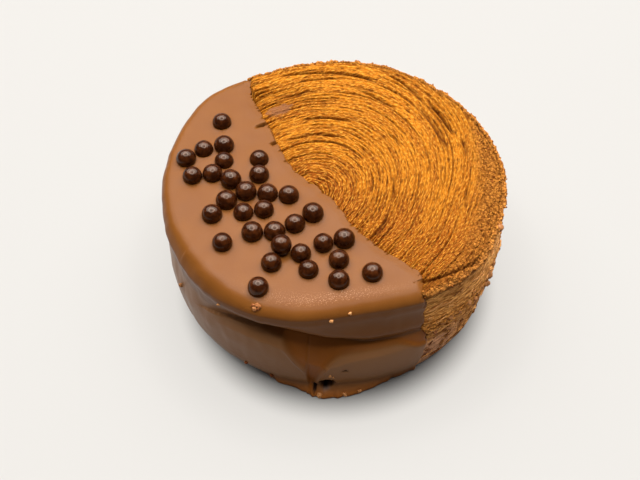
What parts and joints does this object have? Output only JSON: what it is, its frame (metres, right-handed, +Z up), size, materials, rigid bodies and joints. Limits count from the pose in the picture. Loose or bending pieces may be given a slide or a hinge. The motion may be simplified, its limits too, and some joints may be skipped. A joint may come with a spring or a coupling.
{
  "type": "new york roll",
  "caption": "Round laminated pastry with a spiral of ridges on top, dipped to about half in milk chocolate and set with small dark chocolate pearls.",
  "frame": {"origin": "middle of the flat base, on the surface it rests on", "axes": "+Z up through the top of the swirl, +X from the chocolate half towards the bare half, Y along the dip line"},
  "size_m": [0.1007, 0.1012, 0.0412],
  "materials": {
    "crust": "dry, crumbly, golden brown",
    "milk_chocolate": "satin",
    "dark_chocolate": "polished"
  },
  "bodies": {
    "root": {"roll": "crust", "chocolate_coat": "milk_chocolate", "pearl_01": "dark_chocolate", "pearl_02": "dark_chocolate", "pearl_03": "dark_chocolate", "pearl_04": "dark_chocolate", "pearl_05": "dark_chocolate", "pearl_06": "dark_chocolate", "pearl_07": "dark_chocolate", "pearl_08": "dark_chocolate", "pearl_09": "dark_chocolate", "pearl_10": "dark_chocolate", "pearl_11": "dark_chocolate", "pearl_12": "dark_chocolate", "pearl_13": "dark_chocolate", "pearl_14": "dark_chocolate", "pearl_15": "dark_chocolate", "pearl_16": "dark_chocolate", "pearl_17": "dark_chocolate", "pearl_18": "dark_chocolate", "pearl_19": "dark_chocolate", "pearl_20": "dark_chocolate", "pearl_21": "dark_chocolate", "pearl_22": "dark_chocolate", "pearl_23": "dark_chocolate", "pearl_24": "dark_chocolate", "pearl_25": "dark_chocolate", "pearl_26": "dark_chocolate", "pearl_27": "dark_chocolate", "pearl_28": "dark_chocolate", "pearl_29": "dark_chocolate", "pearl_30": "dark_chocolate", "pearl_31": "dark_chocolate", "pearl_32": "dark_chocolate"}
  },
  "joints": []
}
